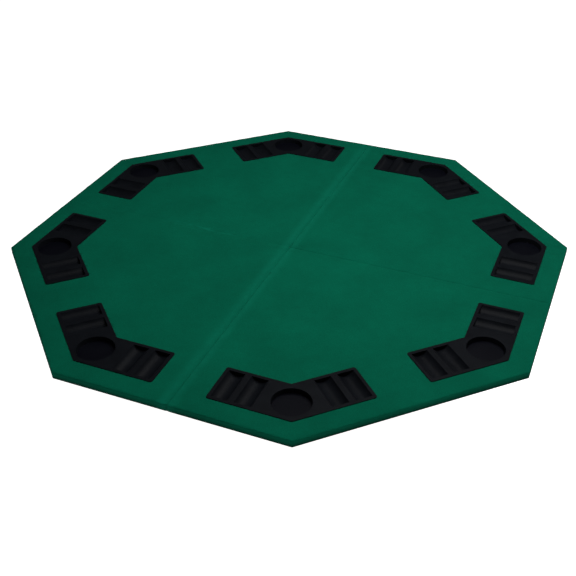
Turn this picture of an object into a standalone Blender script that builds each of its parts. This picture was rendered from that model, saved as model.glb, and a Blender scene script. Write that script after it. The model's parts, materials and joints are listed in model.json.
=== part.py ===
"""Folding octagonal card-table top: four felt-covered quarter panels that fold into a stack.

The top lies flat on +Z, with its origin under its middle on the plane that its feet rest on.
X and Y run along the two folding lines, which meet at the middle and cut four of the eight sides
in half.  The north-west panel is the fixed one.  The south-west panel folds over it, felt to felt,
about the felt that bridges them.  The two east panels hang on steel hinges under the top and fold
back beneath their western neighbours.
"""
import math

import bmesh
import bpy
from mathutils import Matrix, Vector

MM = 0.001

# ---- plan of the top -------------------------------------------------------------------------
HALF_WIDTH = 600 * MM            # centre to the middle of each of the eight sides
SEAM_GAP = 0.3 * MM              # each panel stops this far short of a folding line
FIT_GAP = 0.3 * MM               # play between pieces that lie on each other
OVERRUN = 5 * MM                 # how far a cutter runs past what it cuts
TAN_HALF_TURN = math.tan(math.radians(22.5))

# ---- layers, from the floor up ---------------------------------------------------------------
FOOT_HEIGHT = 5.0 * MM
BOARD_BOTTOM = FOOT_HEIGHT + FIT_GAP
BOARD_TOP = BOARD_BOTTOM + 11.0 * MM
FOAM_BOTTOM = BOARD_TOP + FIT_GAP
FOAM_TOP = FOAM_BOTTOM + 2.2 * MM
FELT_THICKNESS = 0.9 * MM
FELT_TOP = FOAM_TOP + FIT_GAP + FELT_THICKNESS
HEM_TOP = BOARD_BOTTOM - FIT_GAP
HEM_BOTTOM = HEM_TOP - 0.7 * MM
HEM_WIDTH = 20 * MM
BOARD_INSET = FELT_THICKNESS + FIT_GAP
FOAM_INSET = 3.5 * MM            # leaves room for the rounded edge of the felt

# ---- chip trays: u runs along a side from its corner, w runs inward from the side ------------
TRAY_OUTER_W = 45.5 * MM
TRAY_INNER_W = 142 * MM
TRAY_END_U = 192 * MM
TRAY_CORNER_RADIUS = 5 * MM
FLANGE_THICKNESS = 1.5 * MM
FLANGE_BOTTOM = FELT_TOP + FIT_GAP
FLANGE_TOP = FLANGE_BOTTOM + FLANGE_THICKNESS
TRAY_WALL = 1.5 * MM
GROOVE_RADIUS = 20.5 * MM
GROOVE_WIDTH = 35 * MM
GROOVE_CENTRES_U = (119.5 * MM, 167.5 * MM)
GROOVE_W = (53 * MM, 134.5 * MM)
GROOVE_STEPS = 8
CUP_W = 94 * MM
CUP_RIM_RADIUS = 39 * MM
CUP_FLOOR_RADIUS = 37.5 * MM
CUP_DEPTH = 10.5 * MM
CUP_STEPS = 32
FELT_CUT_INSET = 4 * MM          # the flange covers this much felt all round
BOARD_CUT_INSET = 4.5 * MM
TRAY_PITCH = math.radians(45)    # from one corner of the octagon to the next
WELL_CUTTER_TOP = FLANGE_TOP + 1.2 * MM

# ---- hinges under the north-south folding line -----------------------------------------------
HINGE_AXIS_Z = 2.5 * MM
HINGE_LENGTH = 60 * MM
HINGE_PLACES_Y = (130 * MM, 470 * MM)
KNUCKLE_COUNT = 5
KNUCKLE_RADIUS = 2.2 * MM
KNUCKLE_PLAY = 0.15 * MM
LEAF_THICKNESS = 1.2 * MM
LEAF_INNER_X = 2.3 * MM
LEAF_OUTER_X = 28 * MM
LEAF_TOP = BOARD_BOTTOM - FIT_GAP
LEAF_BOTTOM = LEAF_TOP - LEAF_THICKNESS
LEAF_ROOT_X = 0.9 * MM           # the leaf's top face starts here, above the pin
ROLL_END_ANGLE = 80              # degrees above +X where the rolled strip closes on the leaf
SINK_RUN_OUT = 0.5 * MM          # how far a countersink's cutter runs past both faces
PIN_RADIUS = 1.0 * MM
PIN_HOLE_RADIUS = 1.12 * MM
PIN_HEAD_RADIUS = 1.9 * MM
PIN_HEAD_LENGTH = 1.0 * MM
ROUND_STEPS = 12

# ---- wood screws, two in each hinge leaf -----------------------------------------------------
SCREW_X = 17 * MM
SCREW_SPREAD_Y = 18 * MM
SCREW_HEAD_RADIUS = 3.0 * MM
SCREW_HEAD_DEPTH = 1.3 * MM
SCREW_SHANK_RADIUS = 1.4 * MM
SCREW_LENGTH = 10.5 * MM
SCREW_TIP_LENGTH = 2 * MM
SCREW_TIP_RADIUS = 0.4 * MM
PILOT_RADIUS = 1.8 * MM
PILOT_TOP = BOARD_TOP - 1.0 * MM
COUNTERSINK_RADIUS = 3.35 * MM

# ---- rubber feet -----------------------------------------------------------------------------
FOOT_RADIUS = 9.5 * MM
FOOT_TREAD_RADIUS = 7.4 * MM
FOOT_EDGE_WIDTH = 0.9 * MM       # the tread's bevelled edge
FOOT_EDGE_HEIGHT = 0.5 * MM
FOOT_STEPS = 16
FOOT_PLACES = ((565 * MM, 70 * MM), (120 * MM, 565 * MM), (70 * MM, 110 * MM))

# ---- panels: name, x sign, y sign, quarter turns of the foot pattern, felt wrapped at y = 0 --
PANELS = (("ne", 1, 1, 0, True), ("nw", -1, 1, 1, False),
          ("sw", -1, -1, 2, False), ("se", 1, -1, 3, True))
FELT_FOLD_Z = FLANGE_TOP + FIT_GAP       # axis of the felt-to-felt fold
FOLD_AXES = {"nw": (None, 0.0), "sw": ("nw", FELT_FOLD_Z),
             "ne": ("nw", HINGE_AXIS_Z), "se": ("sw", HINGE_AXIS_Z)}


# ================================ scene and material helpers ==================================
def clear_scene():
    for old in list(bpy.data.objects):
        bpy.data.objects.remove(old, do_unlink=True)


def make_material(name, color, roughness, metallic=0.0):
    mat = bpy.data.materials.new(name)
    mat.use_nodes = True
    shader = mat.node_tree.nodes["Principled BSDF"]
    shader.inputs["Base Color"].default_value = (*color, 1.0)
    shader.inputs["Roughness"].default_value = roughness
    shader.inputs["Metallic"].default_value = metallic
    return mat


def make_object(name, mesh, mat=None):
    obj = bpy.data.objects.new(name, mesh)
    bpy.context.scene.collection.objects.link(obj)
    if mat and not mesh.materials:
        mesh.materials.append(mat)
    return obj


def smooth(mesh, angle=35):
    mesh.shade_smooth()
    mesh.set_sharp_from_angle(angle=math.radians(angle))


# ================================ mesh helpers ================================================
def mesh_from_bmesh(name, bm):
    bmesh.ops.recalc_face_normals(bm, faces=bm.faces)
    mesh = bpy.data.meshes.new(name)
    bm.to_mesh(mesh)
    bm.free()
    return mesh


def extrusion(name, points, step):
    """A solid whose one end is the flat outline `points` and whose other end is `step` away."""
    bm = bmesh.new()
    face = bm.faces.new([bm.verts.new(p) for p in points])
    end = bmesh.ops.extrude_face_region(bm, geom=[face])["geom"]
    moved = [item for item in end if isinstance(item, bmesh.types.BMVert)]
    bmesh.ops.translate(bm, verts=moved, vec=step)
    return mesh_from_bmesh(name, bm)


def slab(name, outline, low, high):
    """An upright solid with the plan `outline` between two heights."""
    return extrusion(name, [(x, y, low) for x, y in outline], (0, 0, high - low))


def turned(name, profile, steps):
    """A solid turned about Z from a profile of (radius, height); its ends are capped flat."""
    bm = bmesh.new()
    rings = []
    for radius, height in profile:
        ring = []
        for i in range(steps):
            angle = math.tau * i / steps
            ring.append(bm.verts.new((radius * math.cos(angle), radius * math.sin(angle), height)))
        rings.append(ring)
    for lower, upper in zip(rings, rings[1:]):
        for i in range(steps):
            j = (i + 1) % steps
            bm.faces.new((lower[i], lower[j], upper[j], upper[i]))
    bm.faces.new(rings[0])
    bm.faces.new(rings[-1])
    return mesh_from_bmesh(name, bm)


def combine(mesh, tool, operation):
    """The mesh that an exact Boolean of `mesh` with the mesh `tool` leaves."""
    target = make_object("target", mesh)
    cutter = make_object("cutter", tool)
    boolean = target.modifiers.new("boolean", "BOOLEAN")
    boolean.operation = operation
    boolean.solver = "EXACT"
    boolean.object = cutter
    graph = bpy.context.evaluated_depsgraph_get()
    graph.update()
    result = bpy.data.meshes.new_from_object(target.evaluated_get(graph))
    bpy.data.objects.remove(target)
    bpy.data.objects.remove(cutter)
    return result


def cut(mesh, tools):
    for tool in tools:
        mesh = combine(mesh, tool, "DIFFERENCE")
    return mesh


def fuse(mesh, tools):
    for tool in tools:
        mesh = combine(mesh, tool, "UNION")
    return mesh


def place(mesh, matrix):
    """A moved copy of a mesh."""
    copy = mesh.copy()
    copy.transform(matrix)
    return copy


# ================================ outlines ====================================================
def panel_outline(x_sign, y_sign, side_inset, x_seam_inset, y_seam_inset):
    """One quarter of the octagon, drawn in from its sides and from its two folding lines."""
    far = HALF_WIDTH - side_inset
    near = far * TAN_HALF_TURN
    corner_points = ((x_seam_inset, y_seam_inset), (far, y_seam_inset), (far, near),
                     (near, far), (x_seam_inset, far))
    return [(x_sign * x, y_sign * y) for x, y in corner_points]


def tray_arms():
    """Direction along the side and direction inward, for the two sides at the first corner."""
    diagonal = math.sqrt(0.5)
    return ((Vector((0, -1, 0)), Vector((-1, 0, 0))),
            (Vector((-diagonal, diagonal, 0)), Vector((-diagonal, -diagonal, 0))))


def tray_point(arm, u, w, z=0.0):
    along, inward = tray_arms()[arm]
    corner = Vector((HALF_WIDTH, HALF_WIDTH * TAN_HALF_TURN, 0))
    return corner + along * u + inward * w + Vector((0, 0, z))


def tray_outline(inset):
    """The chevron of a tray at the first corner, drawn in by `inset` all round."""
    outer, inner, end = TRAY_OUTER_W + inset, TRAY_INNER_W - inset, TRAY_END_U - inset
    places = ((0, outer * TAN_HALF_TURN, outer), (0, end, outer), (0, end, inner),
              (0, inner * TAN_HALF_TURN, inner), (1, end, inner), (1, end, outer))
    return [tray_point(*spot).to_2d() for spot in places]


def rounded(points, radius, steps=3):
    """The outline with each corner replaced by an arc."""
    result = []
    for i, corner in enumerate(points):
        back = (points[i - 1] - corner).normalized()
        ahead = (points[(i + 1) % len(points)] - corner).normalized()
        half_angle = back.angle(ahead) / 2
        middle = corner + (back + ahead).normalized() * (radius / math.sin(half_angle))
        reach = radius / math.tan(half_angle)
        first = corner + back * reach - middle
        sweep = first.angle_signed(corner + ahead * reach - middle)
        for step in range(steps + 1):
            turn = Matrix.Rotation(-sweep * step / steps, 2)
            result.append(middle + turn @ first)
    return result


def arc_section(radius, centre_z, top_z):
    """A groove's cross-section as (across, height): an arc closed by its chord at `top_z`."""
    limit = math.acos((centre_z - top_z) / radius)
    angles = [limit * (2 * i / GROOVE_STEPS - 1) for i in range(GROOVE_STEPS + 1)]
    return [(radius * math.sin(a), centre_z - radius * math.cos(a)) for a in angles]


# ================================ the pieces ==================================================
def tray_turn(index):
    """The turn that carries the tray at the first corner to the corner `index`."""
    return Matrix.Rotation(TRAY_PITCH * index, 4, "Z")


def tray_cutters(x_sign, y_sign, inset, low, high):
    """The two chevrons that a panel's layers leave free for its trays."""
    quarter = {(1, 1): 0, (-1, 1): 1, (-1, -1): 2, (1, -1): 3}[(x_sign, y_sign)]
    chevron = slab("tray_cutter", tray_outline(inset), low, high)
    return [place(chevron, tray_turn(2 * quarter + i)) for i in range(2)]


def board_mesh(x_sign, y_sign, y_seam_inset):
    outline = panel_outline(x_sign, y_sign, BOARD_INSET, SEAM_GAP + BOARD_INSET, y_seam_inset)
    board = slab("board", outline, BOARD_BOTTOM, BOARD_TOP)
    tools = tray_cutters(x_sign, y_sign, BOARD_CUT_INSET,
                         BOARD_BOTTOM - OVERRUN, BOARD_TOP + OVERRUN)
    pilot = turned("pilot", ((PILOT_RADIUS, BOARD_BOTTOM - OVERRUN), (PILOT_RADIUS, PILOT_TOP)),
                   ROUND_STEPS)
    for x, y in screw_places(x_sign, y_sign):
        tools.append(place(pilot, Matrix.Translation((x, y, 0))))
    return cut(board, tools)


def foam_mesh(x_sign, y_sign, y_seam_inset):
    outline = panel_outline(x_sign, y_sign, FOAM_INSET, SEAM_GAP + FOAM_INSET, y_seam_inset)
    foam = slab("foam", outline, FOAM_BOTTOM, FOAM_TOP)
    return cut(foam, tray_cutters(x_sign, y_sign, BOARD_CUT_INSET,
                                  FOAM_BOTTOM - OVERRUN, FOAM_TOP + OVERRUN))


def felt_mesh(x_sign, y_sign, wrapped):
    """The cover: its top, its skirts down the edges, and its hem turned under the outer sides."""
    outline = panel_outline(x_sign, y_sign, 0, SEAM_GAP, SEAM_GAP)
    inner_seam = SEAM_GAP + FELT_THICKNESS
    inside = panel_outline(x_sign, y_sign, FELT_THICKNESS, inner_seam,
                           inner_seam if wrapped else -OVERRUN)
    opening = panel_outline(x_sign, y_sign, HEM_WIDTH, -OVERRUN, -OVERRUN)
    tools = [slab("inside", inside, HEM_TOP, FELT_TOP - FELT_THICKNESS),
             slab("opening", opening, HEM_BOTTOM - OVERRUN, BOARD_BOTTOM)]
    tools += tray_cutters(x_sign, y_sign, FELT_CUT_INSET, FOAM_TOP - OVERRUN, FELT_TOP + OVERRUN)
    return cut(slab("felt", outline, HEM_BOTTOM, FELT_TOP), tools)


def groove_solid(arm, centre_u, radius, end_margin, top_z):
    """A round-bottomed trough across one arm, `end_margin` longer than the groove at each end."""
    centre_z = FLANGE_TOP + math.sqrt(GROOVE_RADIUS ** 2 - (GROOVE_WIDTH / 2) ** 2)
    low_w, high_w = GROOVE_W[0] - end_margin, GROOVE_W[1] + end_margin
    section = [tray_point(arm, centre_u + across, low_w, height)
               for across, height in arc_section(radius, centre_z, top_z)]
    return extrusion("groove", section, tray_arms()[arm][1] * (high_w - low_w))


def cup_solid(margin, top_z):
    """The cup's inner shape, grown by `margin` at its side and floor."""
    floor_z = FLANGE_TOP - CUP_DEPTH - margin
    slope = (CUP_RIM_RADIUS - CUP_FLOOR_RADIUS) / CUP_DEPTH
    floor_radius = CUP_FLOOR_RADIUS + margin
    top_radius = floor_radius + slope * (top_z - floor_z)
    cup = turned("cup", ((floor_radius, floor_z), (top_radius, top_z)), CUP_STEPS)
    centre = tray_point(0, CUP_W * TAN_HALF_TURN, CUP_W)
    return place(cup, Matrix.Translation(centre))


def tray_mesh():
    """A thin moulded chevron: a flange with a cup at its bend and two grooves in each arm."""
    grooves = [(arm, u) for arm in range(2) for u in GROOVE_CENTRES_U]
    in_flange = FLANGE_BOTTOM + FLANGE_THICKNESS / 2
    flange = slab("tray", rounded(tray_outline(0), TRAY_CORNER_RADIUS), FLANGE_BOTTOM, FLANGE_TOP)
    shells = [groove_solid(arm, u, GROOVE_RADIUS + TRAY_WALL, TRAY_WALL, in_flange)
              for arm, u in grooves]
    wells = [groove_solid(arm, u, GROOVE_RADIUS, 0, WELL_CUTTER_TOP) for arm, u in grooves]
    tray = fuse(flange, shells + [cup_solid(TRAY_WALL, in_flange)])
    tray = cut(tray, wells + [cup_solid(0, WELL_CUTTER_TOP)])
    smooth(tray)
    return tray


def foot_mesh():
    profile = ((FOOT_TREAD_RADIUS, 0), (FOOT_TREAD_RADIUS + FOOT_EDGE_WIDTH, FOOT_EDGE_HEIGHT),
               (FOOT_RADIUS, FOOT_HEIGHT))
    foot = turned("foot", profile, FOOT_STEPS)
    smooth(foot)
    return foot


def leaf_mesh(own_knuckles):
    """A hinge leaf on the +X side of its pin, with the axis of the pin along Y at the origin."""
    top, bottom = LEAF_TOP - HINGE_AXIS_Z, LEAF_BOTTOM - HINGE_AXIS_Z
    low_angle = math.degrees(math.asin(bottom / KNUCKLE_RADIUS))
    sweep = 360 - ROLL_END_ANGLE + low_angle
    section = [(LEAF_OUTER_X, top), (LEAF_OUTER_X, bottom)]
    for step in range(ROUND_STEPS + 1):
        angle = math.radians(low_angle - sweep * step / ROUND_STEPS)
        section.append((KNUCKLE_RADIUS * math.cos(angle), KNUCKLE_RADIUS * math.sin(angle)))
    section.append((LEAF_ROOT_X, top))
    half = HINGE_LENGTH / 2
    leaf = extrusion("leaf", [(x, -half, z) for x, z in section], (0, HINGE_LENGTH, 0))
    pitch = HINGE_LENGTH / KNUCKLE_COUNT
    tools = []
    for i in range(KNUCKLE_COUNT):
        if i in own_knuckles:
            continue
        start, stop = -half + i * pitch, -half + (i + 1) * pitch
        start = start - OVERRUN if i == 0 else start - KNUCKLE_PLAY
        stop = stop + OVERRUN if i == KNUCKLE_COUNT - 1 else stop + KNUCKLE_PLAY
        notch = [(-OVERRUN, start), (LEAF_INNER_X, start), (LEAF_INNER_X, stop), (-OVERRUN, stop)]
        tools.append(slab("notch", notch, -OVERRUN, OVERRUN))
    bore = turned("bore", ((PIN_HOLE_RADIUS, -half - OVERRUN), (PIN_HOLE_RADIUS, half + OVERRUN)),
                  ROUND_STEPS)
    tools.append(place(bore, Matrix.Rotation(math.pi / 2, 4, "X")))
    slope = (COUNTERSINK_RADIUS - PILOT_RADIUS) / LEAF_THICKNESS
    sink = turned("sink", ((COUNTERSINK_RADIUS + slope * SINK_RUN_OUT, bottom - SINK_RUN_OUT),
                           (PILOT_RADIUS, top), (PILOT_RADIUS, top + SINK_RUN_OUT)), ROUND_STEPS)
    for side in (-1, 1):
        tools.append(place(sink, Matrix.Translation((SCREW_X, side * SCREW_SPREAD_Y, 0))))
    leaf = cut(leaf, tools)
    smooth(leaf)
    return leaf


def pin_mesh():
    """A hinge pin about Z, headed at both ends."""
    neck = HINGE_LENGTH / 2 + FIT_GAP
    tip = neck + PIN_HEAD_LENGTH
    pin = turned("pin", ((PIN_HEAD_RADIUS, -tip), (PIN_HEAD_RADIUS, -neck), (PIN_RADIUS, -neck),
                         (PIN_RADIUS, neck), (PIN_HEAD_RADIUS, neck), (PIN_HEAD_RADIUS, tip)),
                 ROUND_STEPS)
    smooth(pin)
    return pin


def screw_mesh():
    """A countersunk wood screw driven upward, with its head flush with the leaf."""
    profile = ((SCREW_HEAD_RADIUS, 0), (SCREW_SHANK_RADIUS, SCREW_HEAD_DEPTH),
               (SCREW_SHANK_RADIUS, SCREW_LENGTH - SCREW_TIP_LENGTH),
               (SCREW_TIP_RADIUS, SCREW_LENGTH))
    screw = turned("screw", profile, ROUND_STEPS)
    smooth(screw)
    return screw


# ================================ assembly ====================================================
def fold_empties():
    """One empty for each panel, on the axis that the panel turns about."""
    empties = {}
    for name, (parent, height) in FOLD_AXES.items():
        empty = bpy.data.objects.new("fold_" + name, None)
        bpy.context.scene.collection.objects.link(empty)
        empty.location = (0, 0, height)
        if parent:
            empty.parent = empties[parent]
            empty.location.z -= FOLD_AXES[parent][1]
        empties[name] = empty
    return empties


def attach(obj, empties, panel):
    """Parent a piece to its panel's empty and leave it where it is."""
    obj.parent = empties[panel]
    obj.matrix_parent_inverse = Matrix.Translation((0, 0, -FOLD_AXES[panel][1]))


def screw_places(x_sign, y_sign):
    return [(x_sign * SCREW_X, y_sign * y + side * SCREW_SPREAD_Y)
            for y in HINGE_PLACES_Y for side in (-1, 1)]


def build_panel_layers(empties, mats):
    for name, x_sign, y_sign, _turns, wrapped in PANELS:
        board_seam = SEAM_GAP + (BOARD_INSET if wrapped else 0)
        foam_seam = SEAM_GAP + (FOAM_INSET if wrapped else 0)
        layers = (("board_", board_mesh(x_sign, y_sign, board_seam), mats["board"]),
                  ("foam_pad_", foam_mesh(x_sign, y_sign, foam_seam), mats["foam"]),
                  ("felt_cover_", felt_mesh(x_sign, y_sign, wrapped), mats["felt"]))
        for prefix, mesh, mat in layers:
            attach(make_object(prefix + name, mesh, mat), empties, name)


def build_trays(empties, mats):
    shared = tray_mesh()
    for index in range(8):
        panel = PANELS[index // 2][0]
        tray = make_object(f"chip_tray_{panel}_{index % 2 + 1}", shared, mats["tray"])
        tray.rotation_euler.z = TRAY_PITCH * index
        attach(tray, empties, panel)


def build_feet(empties, mats):
    shared = foot_mesh()
    for panel, _x_sign, _y_sign, turns, _wrapped in PANELS:
        pattern_turn = Matrix.Rotation(turns * math.pi / 2, 2)
        for number, spot in enumerate(FOOT_PLACES, 1):
            foot = make_object(f"foot_{panel}_{number}", shared, mats["rubber"])
            foot.location = (*(pattern_turn @ Vector(spot)), 0)
            attach(foot, empties, panel)


def build_hinges(empties, mats):
    """Two hinges on each half of the north-south line; the pin stays with the west leaf."""
    west_leaf = leaf_mesh((0, 2, 4))
    east_leaf = leaf_mesh((1, 3))
    shared_pin = pin_mesh()
    for y_sign, west, east in ((1, "nw", "ne"), (-1, "sw", "se")):
        for number, y in enumerate(HINGE_PLACES_Y, 1):
            spot = (0, y_sign * y, HINGE_AXIS_Z)
            leaf = make_object(f"hinge_leaf_{west}_{number}", west_leaf, mats["steel"])
            leaf.location = spot
            leaf.rotation_euler.z = math.pi
            attach(leaf, empties, west)
            leaf = make_object(f"hinge_leaf_{east}_{number}", east_leaf, mats["steel"])
            leaf.location = spot
            attach(leaf, empties, east)
            pin = make_object(f"hinge_pin_{west}_{number}", shared_pin, mats["steel"])
            pin.location = spot
            pin.rotation_euler.x = math.pi / 2
            attach(pin, empties, west)


def build_screws(empties, mats):
    shared = screw_mesh()
    for panel, x_sign, y_sign, _turns, _wrapped in PANELS:
        for number, (x, y) in enumerate(screw_places(x_sign, y_sign), 1):
            screw = make_object(f"screw_{panel}_{number}", shared, mats["screw"])
            screw.location = (x, y, LEAF_BOTTOM)
            attach(screw, empties, panel)


def main():
    clear_scene()
    mats = {
        "felt": make_material("green_felt", (0.001, 0.085, 0.05), 0.95),
        "foam": make_material("foam", (0.55, 0.55, 0.5), 0.9),
        "board": make_material("fibreboard", (0.30, 0.19, 0.10), 0.7),
        "tray": make_material("black_plastic", (0.006, 0.006, 0.008), 0.35),
        "rubber": make_material("rubber", (0.012, 0.012, 0.012), 0.8),
        "steel": make_material("steel", (0.45, 0.45, 0.46), 0.35, 1.0),
        "screw": make_material("zinc_screw", (0.6, 0.58, 0.5), 0.3, 1.0),
    }
    empties = fold_empties()
    build_panel_layers(empties, mats)
    build_trays(empties, mats)
    build_feet(empties, mats)
    build_hinges(empties, mats)
    build_screws(empties, mats)
    bpy.context.view_layer.update()


main()
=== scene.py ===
"""Looks of the folding octagonal card-table top: felt, moulded trays, hinges, feet and studio."""

import json
import math

import bmesh
import bpy
from mathutils import Matrix, Vector, geometry, noise


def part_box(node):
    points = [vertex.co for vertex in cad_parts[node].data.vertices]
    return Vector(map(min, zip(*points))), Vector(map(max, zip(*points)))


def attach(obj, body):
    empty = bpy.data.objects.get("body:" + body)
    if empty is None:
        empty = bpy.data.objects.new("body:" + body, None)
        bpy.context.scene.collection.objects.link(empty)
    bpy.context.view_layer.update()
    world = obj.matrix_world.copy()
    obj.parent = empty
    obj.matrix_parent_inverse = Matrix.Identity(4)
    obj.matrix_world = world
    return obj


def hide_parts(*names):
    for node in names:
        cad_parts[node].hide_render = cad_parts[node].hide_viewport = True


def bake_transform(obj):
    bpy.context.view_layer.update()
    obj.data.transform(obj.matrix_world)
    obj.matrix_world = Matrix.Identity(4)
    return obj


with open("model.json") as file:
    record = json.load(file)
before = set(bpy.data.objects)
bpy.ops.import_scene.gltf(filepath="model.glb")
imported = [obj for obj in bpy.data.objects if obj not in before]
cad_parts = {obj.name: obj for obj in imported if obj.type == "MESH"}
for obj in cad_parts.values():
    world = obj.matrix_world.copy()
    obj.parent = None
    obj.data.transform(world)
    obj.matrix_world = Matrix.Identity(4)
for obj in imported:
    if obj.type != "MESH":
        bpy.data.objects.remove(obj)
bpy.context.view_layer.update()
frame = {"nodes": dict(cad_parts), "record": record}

MM = 0.001

# ---- places read from the frame --------------------------------------------------------------
FELT_LOW, FELT_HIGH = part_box("felt_cover_ne")
HALF_WIDTH = FELT_HIGH[0]
SEAM = FELT_LOW[0] - 0.25 * MM    # at a cut, soft felt swells past the CAD cover and closes the gap
FELT_TOP, HEM_BOTTOM = FELT_HIGH[2], FELT_LOW[2]
BOARD_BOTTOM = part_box("board_ne")[0][2]
FLANGE_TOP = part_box("chip_tray_ne_1")[1][2]
TAN_HALF_TURN = math.tan(math.radians(22.5))
PANELS = {"ne": (1, 1), "nw": (-1, 1), "sw": (-1, -1), "se": (1, -1)}

# ---- felt ------------------------------------------------------------------------------------
FELT_THICKNESS = 0.7 * MM
EDGE_RADIUS = 3.2 * MM           # round of the felt over the pad, on the outer sides
SEAM_RADIUS = 0.9 * MM           # the same on the edges that meet at a folding line
PLAN_RADIUS = 3.3 * MM           # round of a panel's corners, seen from above
SEAM_CORNER_SQUARENESS = 0.8     # 0 leaves a folding line's corners as round, 1 makes them square
LOWER_RADIUS = 1.4 * MM
HEM_WIDTH = 20 * MM
HEM_RINGS = (7 * MM, 13 * MM, HEM_WIDTH)      # insets of the hem's rings of points
TOP_STEPS = 6                    # steps round the felt's top edge
LOWER_STEPS = 3                  # steps round its lower edge
CORNER_STEPS = 4                 # steps round a corner, seen from above
SEAM_RINGS = 9                   # rings that a cut edge has: it ends at the foot of the board
SEAM_SKIRT = 15 * MM             # cloth in that skirt, for the cloth's area
FELT_STEP = 9 * MM               # spacing of the cloth's points
CUT_CLEARANCE = 3 * MM           # grid points keep this far from the rim and the tray cuts
FOLD_REACH = 1.5 * MM            # the bridging felt bends this far each side of the folding line
FOLD_ROWS = 3                    # rows of points on each side of that line
FOLD_QUIET = 8 * MM              # no row of the plain grid lies nearer to it
FOLD_MARGIN = 5 * MM             # one more row at this distance
FOLD_CLEAR = 4 * MM              # the rim's plain stations stop this far from the folding line
WAVE_HEIGHT = 0.16 * MM          # slow waves in the felt's top
CREASE_HEIGHT = 1.6 * MM         # creases at the felt fold, highest about CREASE_X
CREASE_X = -0.23
CREASE_REACH = (70 * MM, 26 * MM)             # along the fold and across it
FOLD_DIP, FOLD_DIP_REACH = 0.10 * MM, 9 * MM
FOLD_GROOVE, FOLD_GROOVE_REACH = 0.35 * MM, 2.2 * MM
EDGE_EASE = 14 * MM              # waves and creases fade out this near an edge
FLANGE_EASE = 8 * MM             # and this near a tray
HEM_RUFFLE = 1.5 * MM            # how unevenly the hem is trimmed
SLIT_RINGS = 2                   # the skirt is slit at the felt fold below this many edge rings
REST_PLACE = "rest_place"        # where each point of a cloth lies when the top is laid out

# ---- trays: u runs along a side from its corner, w runs inward from the side ------------------
TRAY_OUTER_W = 45.5 * MM
TRAY_INNER_W = 142 * MM
TRAY_END_U = 192 * MM
TRAY_CORNER_RADIUS = 5 * MM
FLANGE_BOTTOM = FELT_TOP + 0.3 * MM
TRAY_PITCH = math.radians(45)    # from one corner of the octagon to the next
TRAY_WALL = 1.5 * MM
GROOVE_RADIUS = 20.5 * MM
GROOVE_WIDTH = 35 * MM
GROOVE_CENTRES_U = (119.5 * MM, 167.5 * MM)
GROOVE_W = (53 * MM, 134.5 * MM)
CUP_W = 94 * MM
CUP_RIM_RADIUS = 39 * MM
CUP_FLOOR_RADIUS = 37.5 * MM
CUP_DEPTH = 10.5 * MM
FELT_CUT_INSET = 4 * MM
FLANGE_TOUCH = 0.25 * MM         # the felt swells this far above its plane to meet the flange
WELL_CUTTER_TOP = FLANGE_TOP + 1.2 * MM
FILLET = 0.7 * MM

# ---- hinges, screws and feet ------------------------------------------------------------------
HINGE_AXIS_Z = 2.5 * MM
HINGE_LENGTH = 60 * MM
KNUCKLE_COUNT = 5
KNUCKLE_RADIUS = 2.2 * MM
KNUCKLE_PLAY = 0.15 * MM
LEAF_TOP = BOARD_BOTTOM - 0.3 * MM
LEAF_BOTTOM = LEAF_TOP - 1.2 * MM
LEAF_INNER_X = 2.3 * MM
LEAF_OUTER_X = 28 * MM
LEAF_ROOT_X = 0.9 * MM           # the leaf's top face starts here, above the pin
LEAF_FILLET = 0.15 * MM
ROLL_END_ANGLE = math.radians(80)             # above +X, where the rolled strip closes on the leaf
OVERRUN = 5 * MM                 # how far a cutter runs past what it cuts
SINK_RUN_OUT = 0.5 * MM          # the same for a countersink's cutter
PIN_RADIUS = 1.0 * MM
PIN_HOLE_RADIUS = 1.15 * MM
PIN_HEAD_RADIUS = 1.9 * MM
PIN_HEAD_LENGTH = 1.0 * MM
PIN_OVERHANG = 0.3 * MM          # gap between a pin's head and the first knuckle
SCREW_X = 17 * MM
SCREW_SPREAD_Y = 18 * MM
SCREW_HOLE_RADIUS = 1.8 * MM
COUNTERSINK_RADIUS = 3.35 * MM
SCREW_HEAD_RADIUS = 3.0 * MM
SCREW_HEAD_DEPTH = 1.3 * MM
SCREW_SHANK_RADIUS = 1.4 * MM
SCREW_LENGTH = 10.5 * MM
SCREW_RIM = 0.25 * MM            # bevel round the head
SCREW_NECK = 1 * MM              # plain shank under the head
SCREW_POINT = 2 * MM             # plain length below the last thread
SCREW_FILLET = 0.07 * MM
THREAD_TURNS = 7
FOOT_HEIGHT = 5.0 * MM
FOOT_RADIUS = 9.5 * MM
FOOT_TREAD_RADIUS = 7.9 * MM
FOOT_ROUND = 0.9 * MM            # radius of the tread's edge
FOAM_FILLET = 0.6 * MM
BOARD_BEVEL = 0.4 * MM

# ---- camera and floor ------------------------------------------------------------------------
CAMERA_PLACE = (0.6855, -1.6987, FELT_TOP + 1.1230)
CAMERA_TURN = (55.94, 22.09, 0.24)       # tilt from straight down, turn about Z, roll, in degrees
CAMERA_LENS = 57.51
FLOOR_Z = -0.72                          # a table's height below the top
STAGE_RADIUS = 30                         # far enough that low views don't see past the floor
WORLD_STRENGTH = 0.12
LIGHTS = {                                # name: place, target, size and power in watts
    "key_softbox": ((0.3, 0.12, 1.3), (0, 0, 0), (1.2, 1.2), 23),
    "back_right_softbox": ((1.6, 2.6, 1.3), (0.4, 0.2, 0), (1.4, 0.8), 6),
}


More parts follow.
